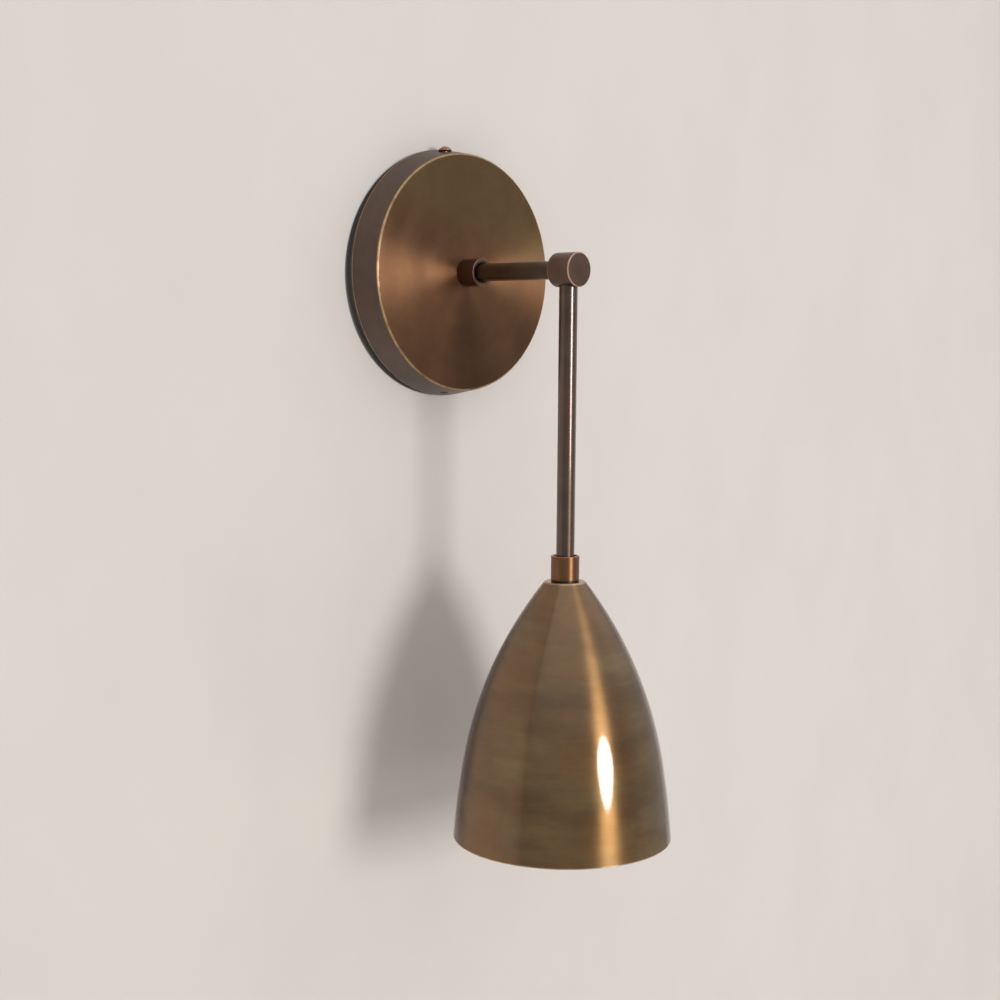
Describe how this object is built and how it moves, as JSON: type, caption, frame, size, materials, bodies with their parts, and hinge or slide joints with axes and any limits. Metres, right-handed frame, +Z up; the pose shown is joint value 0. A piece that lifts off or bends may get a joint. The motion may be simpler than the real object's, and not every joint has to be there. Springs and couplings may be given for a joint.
{
  "type": "hanging pendant wall sconce",
  "caption": "Hanging pendant wall sconce: round canopy, straight arm, knuckle with a down rod and a bell-shaped metal shade, in antique brass.",
  "frame": {"origin": "middle of the canopy's back, on the wall plane", "axes": "+Z up, the room and the arm towards -Y, +X to the right when facing the wall"},
  "size_m": [0.133, 0.1486, 0.3619],
  "materials": {
    "zinc_steel": "zinc-plated steel, satin",
    "ground_green": "green-coated steel, satin",
    "antique_brass": "brushed antique brass under clear lacquer, worn bright on the edges",
    "dark_steel": "blackened steel, satin",
    "swivel_brass": "turned brass, satin",
    "swivel_fibre": "dark fibre, matt",
    "terminal_plastic": "off-white moulded plastic, matt",
    "lead_sheath": "white sheath, satin",
    "shade_brass": "spun antique brass with fine lathe lines under clear lacquer",
    "holder_plastic": "black moulded plastic, satin",
    "holder_ceramic": "glazed off-white porcelain",
    "contact_brass": "pressed brass, bright",
    "bulb_metal": "nickel-plated, bright",
    "bulb_solder": "soldered, dull bright",
    "bulb_black_glass": "black glass, gloss",
    "bulb_glass": "clear, gloss",
    "filament": "yellow coating, satin, not lit"
  },
  "bodies": {
    "wall_plate": {"mounting_strap": "zinc_steel", "ground_screw": "ground_green", "canopy": "antique_brass", "canopy_dome_screw": "antique_brass", "canopy_set_screw": "dark_steel", "arm_lock_washer": "zinc_steel", "arm_lock_nut": "zinc_steel", "arm_nipple": "zinc_steel", "wall_collar": "antique_brass", "arm_tube": "antique_brass", "arm_swivel_bush": "swivel_brass", "arm_swivel_washer": "swivel_fibre", "terminal_block": "terminal_plastic", "terminal_screws": "zinc_steel", "supply_lead": "lead_sheath"},
    "knuckle": {"knuckle": "antique_brass", "arm_swivel_spindle": "swivel_brass", "rod_swivel_spindle": "swivel_brass", "rod_swivel_washer": "swivel_fibre", "knuckle_lead": "lead_sheath"},
    "pendant": {"shade_lock_washer": "zinc_steel", "shade_lock_nut": "zinc_steel", "shade_nipple": "zinc_steel", "down_rod": "antique_brass", "shade_collar": "antique_brass", "shade_washer": "dark_steel", "rod_swivel_bush": "swivel_brass", "rod_lead": "lead_sheath", "shade": "shade_brass", "holder_cap": "holder_plastic", "holder_body": "holder_plastic", "holder_core": "holder_ceramic", "holder_screw_shell": "contact_brass", "holder_contact": "contact_brass", "bulb_cap": "bulb_metal", "bulb_filament_discs": "bulb_metal", "bulb_contact": "bulb_solder", "bulb_insulator": "bulb_black_glass", "bulb_glass": "bulb_glass", "bulb_stem": "bulb_glass", "bulb_filaments": "filament"}
  },
  "joints": [
    {"name": "pendant_swing", "type": "hinge", "parent": "wall_plate", "child": "knuckle", "pos_m": [0, -0.0914, 0], "axis": [0, 1, 0], "range_deg": [-90, 90]},
    {"name": "rod_swivel", "type": "hinge", "parent": "knuckle", "child": "pendant", "pos_m": [0, -0.0914, -0.02], "axis": [0, 0, 1], "range_deg": [-165, 165]}
  ]
}
